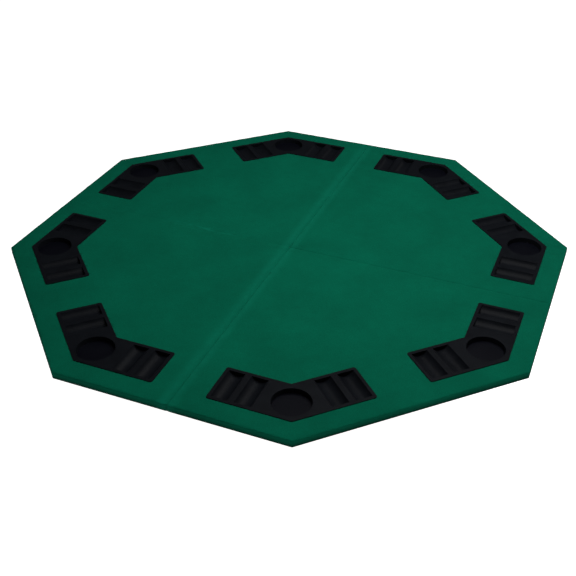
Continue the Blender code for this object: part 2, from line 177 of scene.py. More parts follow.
# ================================ material helpers ============================================
class Shader:
    """A Principled material and short ways to add the nodes that feed it."""

    def __init__(self, name, **values):
        self.mat = bpy.data.materials.new(name)
        self.mat.use_nodes = True
        self.nodes, self.links = self.mat.node_tree.nodes, self.mat.node_tree.links
        self.bsdf = self.nodes["Principled BSDF"]
        self.place = self.nodes.new("ShaderNodeTexCoord").outputs["Object"]
        for key, value in values.items():
            self.bsdf.inputs[key.replace("_", " ")].default_value = value

    def place_from(self, attribute):
        """Reads places from a mesh attribute, which a bending cloth carries along."""
        node = self.nodes.new("ShaderNodeAttribute")
        node.attribute_name = attribute
        self.place = node.outputs["Vector"]

    def noise(self, scale, detail=3.0, roughness=0.55, stretch=None):
        tex = self.nodes.new("ShaderNodeTexNoise")
        tex.inputs["Scale"].default_value = scale
        tex.inputs["Detail"].default_value = detail
        tex.inputs["Roughness"].default_value = roughness
        self.links.new(self.stretched(stretch), tex.inputs["Vector"])
        return tex.outputs["Fac"]

    def stretched(self, stretch):
        if not stretch:
            return self.place
        mapping = self.nodes.new("ShaderNodeMapping")
        mapping.inputs["Scale"].default_value = stretch
        self.links.new(self.place, mapping.inputs["Vector"])
        return mapping.outputs["Vector"]

    def cells(self, scale):
        tex = self.nodes.new("ShaderNodeTexVoronoi")
        tex.inputs["Scale"].default_value = scale
        self.links.new(self.place, tex.inputs["Vector"])
        return tex.outputs["Distance"]

    def ramp(self, value, stops):
        """Grey levels or colours that follow a value, from (position, level) pairs in order."""
        node = self.nodes.new("ShaderNodeValToRGB")
        elements = node.color_ramp.elements
        elements.remove(elements[1])
        elements[0].position = stops[0][0]
        for position, _ in stops[1:]:
            elements.new(position)
        for element, (_, color) in zip(elements, stops):
            element.color = (*color, 1.0) if hasattr(color, "__len__") else (color,) * 3 + (1.0,)
        self.links.new(value, node.inputs["Fac"])
        return node.outputs["Color"]

    def mix(self, factor, a, b, blend="MIX"):
        node = self.nodes.new("ShaderNodeMix")
        node.data_type = "RGBA"
        node.blend_type = blend
        for socket, value in ((node.inputs[0], factor), (node.inputs[6], a), (node.inputs[7], b)):
            if isinstance(value, bpy.types.NodeSocket):
                self.links.new(value, socket)
            else:
                socket.default_value = value
        return node.outputs[2]

    def add_up(self, parts):
        """The sum of (socket, weight) pairs."""
        total = None
        for value, weight in parts:
            scaled = self.nodes.new("ShaderNodeMath")
            scaled.operation = "MULTIPLY_ADD"
            self.links.new(value, scaled.inputs[0])
            scaled.inputs[1].default_value = weight
            scaled.inputs[2].default_value = 0.0
            if total is not None:
                self.links.new(total, scaled.inputs[2])
            total = scaled.outputs[0]
        return total

    def by_place(self, axis, stops):
        """A value that follows one coordinate, from (coordinate, value) pairs in rising order."""
        low, high = stops[0][0], stops[-1][0]
        split = self.nodes.new("ShaderNodeSeparateXYZ")
        share = self.nodes.new("ShaderNodeMapRange")
        share.inputs["From Min"].default_value = low
        share.inputs["From Max"].default_value = high
        self.links.new(self.place, split.inputs["Vector"])
        self.links.new(split.outputs[axis], share.inputs["Value"])
        return self.ramp(share.outputs["Result"],
                         [((spot - low) / (high - low), value) for spot, value in stops])

    def times(self, *values):
        product = values[0]
        for value in values[1:]:
            product = self.mix(1.0, product, value, "MULTIPLY")
        return product

    def bump(self, height, distance, strength):
        node = self.nodes.new("ShaderNodeBump")
        node.inputs["Strength"].default_value = strength
        node.inputs["Distance"].default_value = distance
        self.links.new(height, node.inputs["Height"])
        self.links.new(node.outputs["Normal"], self.bsdf.inputs["Normal"])

    def feed(self, socket, value):
        self.links.new(value, self.bsdf.inputs[socket])


def painted_felt_highlight(s):
    """How much painted highlight lightens the felt: along the pads' rounded edges each side of the
    hinged cut, less in the joint between them, and on the fold's creases.
    """
    hinged_cut = s.by_place("X", ((-26 * MM, 0.0), (-11 * MM, 0.25), (-2 * MM, 0.12),
                                  (5 * MM, 0.26), (19 * MM, 0.0)))
    creases = s.times(s.by_place("Y", ((-16 * MM, 0.0), (0.0, 1.0), (16 * MM, 0.0))),
                      s.by_place("X", ((-0.34, 0.0), (-0.26, 1.0), (-0.19, 1.0), (-0.10, 0.0))),
                      s.ramp(s.noise(50, 3, 0.6, (0.7, 3.0, 1.0)), ((0.50, 0.0), (0.62, 0.45))))
    patchy = s.ramp(s.noise(70, 3), ((0.35, 0.6), (0.6, 1.0)))
    return s.times(s.add_up(((hinged_cut, 1.0), (creases, 1.0))), patchy)


def felt_material():
    """Pressed wool: short tangled fibres and slow changes of tone, with painted shade that darkens
    its sides towards the foot.
    """
    s = Shader("felt", Roughness=0.95, Sheen_Weight=0.02, Sheen_Roughness=0.5,
               Sheen_Tint=(0.08, 0.80, 0.60, 1.0), Specular_IOR_Level=0.02)
    s.place_from(REST_PLACE)
    fibres = s.noise(900, 5, 0.7)
    strands = s.noise(700, 4, 0.6, stretch=(1.0, 0.25, 1.0))
    shade = s.ramp(s.noise(9, 3, 0.5), ((0.3, 0.90), (0.7, 1.08)))
    blotch = s.ramp(s.noise(45, 4, 0.6), ((0.3, 0.95), (0.7, 1.05)))
    wool = s.ramp(s.add_up(((fibres, 0.6), (strands, 0.4))),
                  ((0.30, (0.0006, 0.058, 0.031)), (0.55, (0.0009, 0.088, 0.049)),
                   (0.78, (0.004, 0.118, 0.071))))
    # painted shade: the felt's sides darken towards the foot, and a little just under the top's
    # round
    painted_side_shade = s.by_place("Z", ((HEM_BOTTOM + 2 * MM, 0.22), ((FELT_TOP + HEM_BOTTOM) / 2, 0.62),
                              (FELT_TOP - 3 * MM, 0.95), (FELT_TOP - 0.5 * MM, 1.0)))
    # painted highlight mixes the felt towards the lighter green below
    s.feed("Base Color", s.mix(painted_felt_highlight(s), s.times(wool, shade, blotch, painted_side_shade),
                               (0.004, 0.16, 0.10, 1.0)))
    s.bump(s.add_up(((fibres, 0.6), (strands, 0.5), (s.noise(2600, 2), 0.4))), 0.5 * MM, 0.6)
    return s.mat


def tray_material():
    """Black moulded plastic with a fine grain, in satin; the floors of its cups are darker and
    bluer.
    """
    s = Shader("moulded_black_plastic", Specular_IOR_Level=0.03)
    wear = s.noise(35, 4, 0.6)
    shell = s.ramp(wear, ((0.3, (0.0031, 0.0037, 0.0050)), (0.7, (0.0045, 0.0054, 0.0072))))
    floor = s.ramp(wear, ((0.3, (0.0015, 0.0017, 0.0034)), (0.7, (0.0021, 0.0024, 0.0043))))
    cup_floor = FLANGE_TOP - CUP_DEPTH
    above = s.by_place("Z", ((cup_floor + 0.1 * MM, 0.0), (cup_floor + 0.5 * MM, 1.0)))
    s.feed("Base Color", s.mix(above, floor, shell))
    s.feed("Roughness", s.ramp(s.add_up(((wear, 0.7), (s.noise(220, 3), 0.3))),
                               ((0.3, 0.36), (0.7, 0.48))))
    s.bump(s.add_up(((s.cells(1500), 0.5), (s.noise(1800, 3), 0.7))), 0.12 * MM, 0.12)
    return s.mat


def board_material():
    """Brown fibreboard, pressed from fine wood fibre with darker and lighter flecks."""
    s = Shader("fibreboard", Specular_IOR_Level=0.3)
    fleck = s.add_up(((s.noise(650, 5, 0.75), 0.6), (s.noise(260, 4, 0.6, (1, 0.3, 1)), 0.4)))
    color = s.ramp(fleck, ((0.30, (0.10, 0.055, 0.028)), (0.5, (0.23, 0.14, 0.075)),
                           (0.72, (0.34, 0.23, 0.135))))
    stain = s.ramp(s.noise(7, 4, 0.6), ((0.3, 0.86), (0.7, 1.06)))
    s.feed("Base Color", s.times(color, stain))
    s.feed("Roughness", s.ramp(fleck, ((0.3, 0.75), (0.7, 0.55))))
    s.bump(fleck, 0.25 * MM, 0.5)
    return s.mat


def foam_material():
    s = Shader("open_cell_foam", Roughness=0.95, Specular_IOR_Level=0.2)
    cells = s.cells(1400)
    s.feed("Base Color", s.ramp(cells, ((0.1, (0.20, 0.20, 0.18)), (0.5, (0.42, 0.42, 0.38)))))
    s.bump(cells, 0.4 * MM, 0.8)
    return s.mat


def rubber_material():
    s = Shader("black_rubber", Specular_IOR_Level=0.35)
    dust = s.noise(160, 4, 0.65)
    s.feed("Base Color", s.ramp(dust, ((0.35, (0.010, 0.010, 0.010)), (0.7, (0.030, 0.029, 0.027)))))
    s.feed("Roughness", s.ramp(dust, ((0.3, 0.60), (0.7, 0.85))))
    s.bump(s.noise(1500, 3), 0.1 * MM, 0.5)
    return s.mat


def steel_material():
    """Rolled steel strip, zinc plated: fine lines along the strip and a few dull patches."""
    s = Shader("zinc_plated_steel", Metallic=1.0)
    lines = s.noise(900, 3, 0.6, stretch=(1.0, 0.03, 1.0))
    patch = s.noise(90, 4, 0.6)
    s.feed("Base Color", s.ramp(patch, ((0.3, (0.36, 0.37, 0.39)), (0.7, (0.58, 0.59, 0.60)))))
    s.feed("Roughness", s.ramp(s.add_up(((lines, 0.6), (patch, 0.4))), ((0.3, 0.24), (0.7, 0.44))))
    s.bump(lines, 0.05 * MM, 0.4)
    return s.mat


def screw_material():
    s = Shader("yellow_zinc", Metallic=1.0)
    tone = s.noise(400, 4, 0.6)
    s.feed("Base Color", s.ramp(tone, ((0.3, (0.46, 0.37, 0.19)), (0.7, (0.66, 0.57, 0.34)))))
    s.feed("Roughness", s.ramp(tone, ((0.3, 0.22), (0.7, 0.38))))
    s.bump(s.noise(2500, 2), 0.03 * MM, 0.4)
    return s.mat


# ================================ mesh helpers ================================================
def finished(name, bm, sharp=40):
    """A mesh from bmesh data, with outward normals and smooth shading up to `sharp` degrees."""
    bmesh.ops.recalc_face_normals(bm, faces=bm.faces)
    mesh = bpy.data.meshes.new(name)
    bm.to_mesh(mesh)
    bm.free()
    mesh.shade_smooth()
    mesh.set_sharp_from_angle(angle=math.radians(sharp))
    return mesh


def make_piece(name, mesh, mat, body, replaced=()):
    obj = bpy.data.objects.new(name, mesh)
    bpy.context.scene.collection.objects.link(obj)
    if not mesh.materials:
        mesh.materials.append(mat)
    if body:
        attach(obj, body)
    if replaced:
        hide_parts(*replaced)
    return obj


def extrusion(points, step):
    """A closed solid: the outline through `points`, moved along by `step`."""
    bm = bmesh.new()
    face = bm.faces.new([bm.verts.new(p) for p in points])
    end = bmesh.ops.extrude_face_region(bm, geom=[face])["geom"]
    moved = [item for item in end if isinstance(item, bmesh.types.BMVert)]
    bmesh.ops.translate(bm, verts=moved, vec=step)
    return finished("extrusion", bm)


def slab(outline, low, high):
    return extrusion([(p[0], p[1], low) for p in outline], (0, 0, high - low))


def turned(profile, steps, centre=(0, 0, 0)):
    """A closed solid turned about a vertical axis from (radius, height) pairs."""
    bm = bmesh.new()
    rings = []
    for radius, height in profile:
        turn = [math.tau * i / steps for i in range(steps)]
        rings.append([bm.verts.new((centre[0] + radius * math.cos(a),
                                    centre[1] + radius * math.sin(a),
                                    centre[2] + height)) for a in turn])
    for lower, upper in zip(rings, rings[1:]):
        for i in range(steps):
            j = (i + 1) % steps
            bm.faces.new((lower[i], lower[j], upper[j], upper[i]))
    bm.faces.new(rings[0])
    bm.faces.new(rings[-1])
    return finished("turned", bm)


def evaluated(obj):
    graph = bpy.context.evaluated_depsgraph_get()
    graph.update()
    return bpy.data.meshes.new_from_object(obj.evaluated_get(graph))


def combine(mesh, tool, operation):
    """The exact boolean of two meshes."""
    target = bpy.data.objects.new("target", mesh)
    cutter = bpy.data.objects.new("cutter", tool)
    for obj in (target, cutter):
        bpy.context.scene.collection.objects.link(obj)
    boolean = target.modifiers.new("boolean", "BOOLEAN")
    boolean.operation = operation
    boolean.solver = "EXACT"
    boolean.object = cutter
    result = evaluated(target)
    bpy.data.objects.remove(target)
    bpy.data.objects.remove(cutter)
    return result


def filleted(mesh, width, segments=3, angle=35):
    """The mesh with each edge sharper than `angle` degrees rounded."""
    bm = bmesh.new()
    bm.from_mesh(mesh)
    bmesh.ops.remove_doubles(bm, verts=bm.verts, dist=0.01 * MM)
    bmesh.ops.dissolve_limit(bm, angle_limit=math.radians(1), verts=bm.verts, edges=bm.edges)
    chosen = [e for e in bm.edges if len(e.link_faces) == 2
              and e.calc_face_angle(0) > math.radians(angle)]
    bmesh.ops.bevel(bm, geom=chosen, offset=width, offset_type="OFFSET", segments=segments,
                    profile=0.5, affect="EDGES", clamp_overlap=True)
    return finished(mesh.name, bm, 45)


def flatten_shading(obj):
    """Keeps the large flat faces of a filleted piece flat, so only its fillets shade round."""
    normals = obj.modifiers.new("normals", "WEIGHTED_NORMAL")
    normals.keep_sharp = True
    normals.weight = 100


# ================================ outlines ====================================================
TRAY_ARMS = ((Vector((0, -1, 0)), Vector((-1, 0, 0))),
             (Vector((-1, 1, 0)).normalized(), Vector((-1, -1, 0)).normalized()))


def tray_point(arm, u, w, z=0.0):
    """A point in the tray at the first corner, by its place along and in from one side."""
    along, inward = TRAY_ARMS[arm]
    corner = Vector((HALF_WIDTH, HALF_WIDTH * TAN_HALF_TURN, 0))
    return corner + along * u + inward * w + Vector((0, 0, z))


def tray_outline(inset):
    outer, inner, end = TRAY_OUTER_W + inset, TRAY_INNER_W - inset, TRAY_END_U - inset
    places = ((0, outer * TAN_HALF_TURN, outer), (0, end, outer), (0, end, inner),
              (0, inner * TAN_HALF_TURN, inner), (1, end, inner), (1, end, outer))
    return [tray_point(*spot).to_2d() for spot in places]


def rounded(points, radius, steps=8):
    """The outline with an arc of the given radius at each corner."""
    result = []
    for i, corner in enumerate(points):
        back = (points[i - 1] - corner).normalized()
        ahead = (points[(i + 1) % len(points)] - corner).normalized()
        half_angle = back.angle(ahead) / 2
        middle = corner + (back + ahead).normalized() * (radius / math.sin(half_angle))
        reach = radius / math.tan(half_angle)
        first = corner + back * reach - middle
        sweep = first.angle_signed(corner + ahead * reach - middle)
        for step in range(steps + 1):
            result.append(middle + Matrix.Rotation(-sweep * step / steps, 2) @ first)
    return result


# ================================ felt ========================================================
def edge_profile(radius):
    """The felt's outer surface from its flat top to its hem, as (inset, height) rings."""
    rings = []
    for step in range(TOP_STEPS + 1):
        angle = math.pi / 2 * step / TOP_STEPS
        rings.append((radius * (1 - math.sin(angle)), FELT_TOP - radius * (1 - math.cos(angle))))
    rings.append((0, (FELT_TOP + HEM_BOTTOM) / 2))
    for step in range(LOWER_STEPS + 1):
        angle = math.pi / 2 * step / LOWER_STEPS
        rings.append((LOWER_RADIUS * (1 - math.cos(angle)),
                      HEM_BOTTOM + LOWER_RADIUS * (1 - math.sin(angle))))
    return rings + [(inset, HEM_BOTTOM) for inset in HEM_RINGS]


class Station:
    """A place on a panel's border: where it is at each inset, its edge radius and its hem."""

    def __init__(self, base, normal, hem_base, hem, radius, reach=1.0):
        self.base, self.normal, self.hem_base, self.hem = base, normal, hem_base, hem
        self.rings = edge_profile(radius)
        self.reach = reach       # above 1, it pushes a round corner out towards a square one

    def at(self, inset):
        if inset <= PLAN_RADIUS:
            return self.base + self.normal * self.reach * (PLAN_RADIUS - inset)
        share = (inset - PLAN_RADIUS) / (HEM_WIDTH - PLAN_RADIUS)
        return self.base.lerp(self.hem_base, share)


def drawn_in(corners, insets):
    """A convex outline, counter-clockwise, with each side moved in by its own inset."""
    result = []
    for i, corner in enumerate(corners):
        back = (corner - corners[i - 1]).normalized()
        ahead = (corners[(i + 1) % len(corners)] - corner).normalized()
        inward, inward_ahead = Vector((-back.y, back.x)), Vector((-ahead.y, ahead.x))
        slide = (insets[i] - insets[i - 1] * inward.dot(inward_ahead)) / back.dot(inward_ahead)
        result.append(corner + inward * insets[i - 1] + back * slide)
    return result


def border(corners, hemmed, slit_at_fold):
    """Stations round a convex outline; `hemmed` says for each side whether it is an outer side."""
    count = len(corners)
    base = drawn_in(corners, [PLAN_RADIUS] * count)
    hem_base = drawn_in(corners, [HEM_WIDTH if h else PLAN_RADIUS for h in hemmed])
    stations = []
    for i in range(count):
        a, b = base[i], base[(i + 1) % count]
        outward = Vector(((b - a).y, -(b - a).x)).normalized()
        before = a - base[i - 1]
        outward_before = Vector((before.y, -before.x)).normalized()
        both = hemmed[i] and hemmed[i - 1]
        radius_before, radius = (EDGE_RADIUS if h else SEAM_RADIUS
                                 for h in (hemmed[i - 1], hemmed[i]))
        for step in range(CORNER_STEPS + 1):
            normal = outward_before.slerp(outward, step / CORNER_STEPS)
            hem = (both or (step == CORNER_STEPS and hemmed[i])
                   or (step == 0 and hemmed[i - 1]))
            blended = radius_before + (radius - radius_before) * step / CORNER_STEPS
            off_side = min(normal.angle(outward), normal.angle(outward_before))
            squareness = SEAM_CORNER_SQUARENESS if not both else 0.0
            reach = 1 + squareness * (1 / math.cos(off_side) - 1)
            stations.append(Station(a, normal, hem_base[i], hem, blended, reach))
        length = (b - a).length
        pieces = round(length / FELT_STEP)
        shares = [k / pieces for k in range(1, pieces)]
        if slit_at_fold and abs(a.x - b.x) < 1 * MM and a.y * b.y < 0:
            near = [abs(side * FOLD_REACH - a.y) / length for side in (-1, 1)]
            shares = [t for t in shares if abs(a.y + (b.y - a.y) * t) > FOLD_CLEAR] + near
        for t in sorted(shares):
            stations.append(Station(a.lerp(b, t), outward,
                                    hem_base[i].lerp(hem_base[(i + 1) % count], t), hemmed[i],
                                    radius))
    return stations


def inside(point, outline):
    """Whether a point lies in an outline, by counting the sides to its right."""
    hit = False
    for i, a in enumerate(outline):
        b = outline[i - 1]
        if (a.y > point.y) != (b.y > point.y):
            if point.x < (b.x - a.x) * (point.y - a.y) / (b.y - a.y) + a.x:
                hit = not hit
    return hit


def gap_to(point, outline):
    """The distance from a point to the nearest side of an outline."""
    best = 1.0
    for i, a in enumerate(outline):
        near, _ = geometry.intersect_point_line(point, outline[i - 1], a)
        share = (near.to_2d() - outline[i - 1]).dot(a - outline[i - 1])
        share = min(1, max(0, share / (a - outline[i - 1]).length_squared))
        best = min(best, (point - outline[i - 1].lerp(a, share)).length)
    return best


def hump(distance, reach):
    """1 at no distance, falling off smoothly to about a third at `reach`."""
    return math.exp(-(distance / reach) ** 2)


def felt_rise(x, y, edge_gap, cut_gap, bridged):
    """How far the felt's top stands above its flat plane: slow waves, and creases at the fold."""
    slow = noise.noise(Vector((x * 9, y * 9, 0.3))) + 0.5 * noise.noise(Vector((x * 27, y * 27, 4)))
    rise = WAVE_HEIGHT * (slow + 1.2)
    if bridged and x < 0:
        crease = max(0.0, noise.noise(Vector((x * 28 + y * 40, y * 9, 7.7)))) ** 1.5
        patch = (0.35 + hump(x - CREASE_X, CREASE_REACH[0])) * hump(y, CREASE_REACH[1])
        rise += CREASE_HEIGHT * crease * patch
        rise -= FOLD_DIP * hump(y, FOLD_DIP_REACH) + FOLD_GROOVE * hump(y, FOLD_GROOVE_REACH)
    free = min(1.0, max(0.0, (cut_gap - FELT_CUT_INSET) / FLANGE_EASE))
    return rise * min(1.0, edge_gap / EDGE_EASE) * free + FLANGE_TOUCH * (1 - free)


def rows_across(low, high, bridged):
    """The y of each row of grid points; the rows crowd together at the felt fold."""
    step = FELT_STEP * math.sqrt(3) / 2
    rows = [low + step * k for k in range(1, int((high - low) / step) + 1)]
    if bridged:
        fine = [FOLD_REACH * k / FOLD_ROWS for k in range(-FOLD_ROWS, FOLD_ROWS + 1)]
        rows = [y for y in rows if abs(y) > FOLD_QUIET] + fine + [-FOLD_MARGIN, FOLD_MARGIN]
    return sorted(rows)


def grid_points(rim, corners, cuts, bridged):
    """A triangular grid of points on a cloth's flat top, clear of its rim and its tray cuts."""
    low = Vector((min(p.x for p in rim), min(p.y for p in rim)))
    high = Vector((max(p.x for p in rim), max(p.y for p in rim)))
    points = []
    for number, y in enumerate(rows_across(low.y, high.y, bridged)):
        x = low.x + FELT_STEP * (0.5 if number % 2 else 1.0)
        while x < high.x:
            spot = Vector((x, y))
            x += FELT_STEP
            if not inside(spot, rim) or gap_to(spot, corners) < EDGE_RADIUS + CUT_CLEARANCE:
                continue
            if any(inside(spot, cut) or gap_to(spot, cut) < CUT_CLEARANCE for cut in cuts):
                continue
            points.append(spot)
    return points


def closed_loop(start, stop):
    """The edges that join points `start` to `stop` - 1 into a ring."""
    return [(i, i + 1) for i in range(start, stop - 1)] + [(stop - 1, start)]


def felt_sheet(name, corners, hemmed, cuts, bridged):
    """One cloth: a flat top with holes for trays, wrapped over the edges down to its hem."""
    corners = [Vector(c) for c in corners]
    stations = border(corners, hemmed, bridged)
    rim = [station.at(station.rings[0][0]) for station in stations]
    points, edges = list(rim), closed_loop(0, len(rim))
    for cut in cuts:
        start = len(points)
        for a, b in zip(cut, cut[1:] + cut[:1]):
            pieces = max(1, round((b - a).length / FELT_STEP))
            points += [a.lerp(b, k / pieces) for k in range(pieces)]
        edges += closed_loop(start, len(points))
    points += grid_points(rim, corners, cuts, bridged)
    net = geometry.delaunay_2d_cdt(points, edges, [list(range(len(rim)))], 1, 1e-7)
    places, faces, origins = net[0], net[2], net[3]
    bm = bmesh.new()
    top = []
    for place in places:
        cut_gap = min(gap_to(place, cut) for cut in cuts)
        rise = felt_rise(place.x, place.y, gap_to(place, corners), cut_gap, bridged)
        top.append(bm.verts.new((place.x, place.y, FELT_TOP + rise)))
    for face in faces:
        centre = (places[face[0]] + places[face[1]] + places[face[2]]) / 3
        if not any(inside(centre, cut) for cut in cuts):
            bm.faces.new([top[i] for i in face])
    source = {old: new for new, olds in enumerate(origins) for old in olds}
    wrap_edges(bm, stations, [top[source[i]] for i in range(len(rim))], bridged)
    bmesh.ops.remove_doubles(bm, verts=bm.verts, dist=0.02 * MM)
    loose = [v for v in bm.verts if not v.link_faces]
    bmesh.ops.delete(bm, geom=loose, context="VERTS")
    mesh = finished(name, bm, 60)
    rest = mesh.attributes.new(REST_PLACE, "FLOAT_VECTOR", "POINT")
    rest.data.foreach_set("vector", [c for v in mesh.vertices for c in v.co])
    return mesh


def wrap_edges(bm, stations, rim, slit_at_fold):
    """Adds the skirt and the hem below a row of rim vertices, one for each station."""
    columns = []
    for station, first in zip(stations, rim):
        depth = len(station.rings) if station.hem else SEAM_RINGS
        column = [first]
        for inset, height in station.rings[1:depth]:
            spot = station.at(inset)
            if inset > LOWER_RADIUS:
                ruffle = HEM_RUFFLE * noise.noise(Vector((spot.x * 60, spot.y * 60, 2.2)))
                spot = spot - spot.normalized() * ruffle
            column.append(bm.verts.new((spot.x, spot.y, height)))
        columns.append(column)
    for i, left in enumerate(columns):
        right = columns[(i + 1) % len(columns)]
        depth = min(len(left), len(right))
        a, b = left[0].co, right[0].co
        if slit_at_fold and a.y * b.y < 0 and abs(a.y - b.y) < 3 * FOLD_REACH:
            depth = SLIT_RINGS + 1
        for k in range(depth - 1):
            bm.faces.new((left[k], left[k + 1], right[k + 1], right[k]))


def quarter_corners(x_sign, y_sign):
    """A quarter panel's corners, counter-clockwise, and which of its sides are outer sides."""
    near = HALF_WIDTH * TAN_HALF_TURN
    corners = [(SEAM, SEAM), (HALF_WIDTH, SEAM), (HALF_WIDTH, near), (near, HALF_WIDTH),
               (SEAM, HALF_WIDTH)]
    hemmed = [False, True, True, True, False]
    corners = [(x_sign * x, y_sign * y) for x, y in corners]
    if x_sign * y_sign < 0:
        corners.reverse()
        hemmed = [True, True, True, False, False]
    return corners, hemmed


def tray_cuts(indices):
    """The holes that the trays at the numbered corners need in the felt."""
    shape = tray_outline(FELT_CUT_INSET)
    return [[Matrix.Rotation(TRAY_PITCH * i, 2) @ p for p in shape] for i in indices]


def area_of(corners, cuts):
    """The area of a cloth's top, without its tray cuts."""
    def shoelace(points):
        return abs(sum(a[0] * b[1] - a[1] * b[0]
                       for a, b in zip(points, points[1:] + points[:1]))) / 2
    return shoelace(corners) - sum(shoelace([tuple(p) for p in cut]) for cut in cuts)


def build_felt(mat):
    """Three cloths: one over both west panels, and one over each east panel."""
    near = HALF_WIDTH * TAN_HALF_TURN
    west = [(-SEAM, -HALF_WIDTH), (-SEAM, HALF_WIDTH), (-near, HALF_WIDTH), (-HALF_WIDTH, near),
            (-HALF_WIDTH, -near), (-near, -HALF_WIDTH)]
    cloths = [("felt_west", west, [False, True, True, True, True, True], (2, 3, 4, 5),
               ("nw", "sw"))]
    for panel, indices in (("ne", (0, 1)), ("se", (6, 7))):
        corners, hemmed = quarter_corners(*PANELS[panel])
        cloths.append(("felt_" + panel, corners, hemmed, indices, (panel,)))
    wrap = (FELT_TOP - HEM_BOTTOM) + HEM_WIDTH
    for name, corners, hemmed, indices, panels in cloths:
        cuts = tray_cuts(indices)
        mesh = felt_sheet(name, corners, hemmed, cuts, len(panels) == 2)
        covers = ["felt_cover_" + p for p in panels]
        if len(panels) == 2:
            cloth = make_piece(name, mesh, mat, None, covers)
            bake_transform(cloth)
        else:
            cloth = make_piece(name, mesh, mat, panels[0], covers)
        shell = cloth.modifiers.new("thickness", "SOLIDIFY")
        shell.thickness = FELT_THICKNESS
        shell.offset = -1
        border_length = sum((Vector(a) - Vector(b)).length * (wrap if h else SEAM_SKIRT)
                            for a, b, h in zip(corners, corners[1:] + corners[:1], hemmed))
        area_of(corners, cuts) + border_length


# ================================ trays =======================================================
def groove_section(radius, top_z, steps=28):
    """The arc of a groove up to a height, as (across, height) pairs."""
    centre_z = FLANGE_TOP + math.sqrt(GROOVE_RADIUS ** 2 - (GROOVE_WIDTH / 2) ** 2)
    limit = math.acos((centre_z - top_z) / radius)
    angles = [limit * (2 * i / steps - 1) for i in range(steps + 1)]
    return [(radius * math.sin(a), centre_z - radius * math.cos(a)) for a in angles]


def groove_solid(arm, centre_u, radius, margin, top_z):
    """What a groove takes up: the hollow itself, or with a margin its shell."""
    low_w, high_w = GROOVE_W[0] - margin, GROOVE_W[1] + margin
    section = [tray_point(arm, centre_u + across, low_w, height)
               for across, height in groove_section(radius, top_z)]
    return extrusion(section, TRAY_ARMS[arm][1] * (high_w - low_w))


def cup_solid(margin, top_z, steps=96):
    """What a cup takes up: the hollow itself, or with a margin its shell."""
    floor_z = FLANGE_TOP - CUP_DEPTH - margin
    slope = (CUP_RIM_RADIUS - CUP_FLOOR_RADIUS) / CUP_DEPTH
    floor_radius = CUP_FLOOR_RADIUS + margin
    top_radius = floor_radius + slope * (top_z - floor_z)
    centre = tray_point(0, CUP_W * TAN_HALF_TURN, CUP_W)
    return turned(((floor_radius, floor_z), (top_radius, top_z)), steps, centre)


def tray_mesh():
    """A moulded tray: a flange with thin-walled grooves and a cup below it."""
    grooves = [(arm, u) for arm in range(2) for u in GROOVE_CENTRES_U]
    in_flange = (FLANGE_BOTTOM + FLANGE_TOP) / 2
    tray = slab(rounded(tray_outline(0), TRAY_CORNER_RADIUS), FLANGE_BOTTOM, FLANGE_TOP)
    for arm, u in grooves:
        shell = groove_solid(arm, u, GROOVE_RADIUS + TRAY_WALL, TRAY_WALL, in_flange)
        tray = combine(tray, shell, "UNION")
    tray = combine(tray, cup_solid(TRAY_WALL, in_flange), "UNION")
    for arm, u in grooves:
        tray = combine(tray, groove_solid(arm, u, GROOVE_RADIUS, 0, WELL_CUTTER_TOP),
                       "DIFFERENCE")
    tray = combine(tray, cup_solid(0, WELL_CUTTER_TOP), "DIFFERENCE")
    tray = filleted(tray, FILLET)
    tray.name = "chip_tray"
    return tray


def build_trays(mat):
    shared = tray_mesh()
    for index in range(8):
        panel = ("ne", "nw", "sw", "se")[index // 2]
        node = f"chip_tray_{panel}_{index % 2 + 1}"
        mesh = shared.copy()
        mesh.transform(Matrix.Rotation(TRAY_PITCH * index, 4, "Z"))
        tray = make_piece("moulded_tray_" + node[10:], mesh, mat, panel, [node])
        flatten_shading(tray)


# ================================ hinges, screws, feet and pads ================================
def middle(node):
    low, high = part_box(node)
    return Vector([(a + b) / 2 for a, b in zip(low, high)])


def leaf_mesh(own_knuckles):
    """A rolled hinge leaf on the +X side of its pin, which lies along Y through the origin."""
    top, bottom = LEAF_TOP - HINGE_AXIS_Z, LEAF_BOTTOM - HINGE_AXIS_Z
    steps, half = 32, HINGE_LENGTH / 2
    low_angle = math.asin(bottom / KNUCKLE_RADIUS)
    sweep = math.tau - ROLL_END_ANGLE + low_angle
    section = [(LEAF_OUTER_X, top), (LEAF_OUTER_X, bottom)]
    for step in range(steps + 1):
        angle = low_angle - sweep * step / steps
        section.append((KNUCKLE_RADIUS * math.cos(angle), KNUCKLE_RADIUS * math.sin(angle)))
    section.append((LEAF_ROOT_X, top))
    leaf = extrusion([(x, -half, z) for x, z in section], (0, HINGE_LENGTH, 0))
    pitch = HINGE_LENGTH / KNUCKLE_COUNT
    for i in range(KNUCKLE_COUNT):
        if i not in own_knuckles:
            start = -half + i * pitch - (OVERRUN if i == 0 else KNUCKLE_PLAY)
            stop = -half + (i + 1) * pitch + (OVERRUN if i == KNUCKLE_COUNT - 1 else KNUCKLE_PLAY)
            notch = ((-OVERRUN, start), (LEAF_INNER_X, start), (LEAF_INNER_X, stop),
                     (-OVERRUN, stop))
            leaf = combine(leaf, slab(notch, -OVERRUN, OVERRUN), "DIFFERENCE")
    bore = turned(((PIN_HOLE_RADIUS, -half - OVERRUN), (PIN_HOLE_RADIUS, half + OVERRUN)), steps)
    bore.transform(Matrix.Rotation(math.pi / 2, 4, "X"))
    leaf = combine(leaf, bore, "DIFFERENCE")
    slope = (COUNTERSINK_RADIUS - SCREW_HOLE_RADIUS) / (top - bottom)
    for side in (-1, 1):
        sink = turned(((COUNTERSINK_RADIUS + slope * SINK_RUN_OUT, bottom - SINK_RUN_OUT),
                       (SCREW_HOLE_RADIUS, top), (SCREW_HOLE_RADIUS, top + SINK_RUN_OUT)),
                      steps, (SCREW_X, side * SCREW_SPREAD_Y, 0))
        leaf = combine(leaf, sink, "DIFFERENCE")
    return filleted(leaf, LEAF_FILLET, 2, 40)


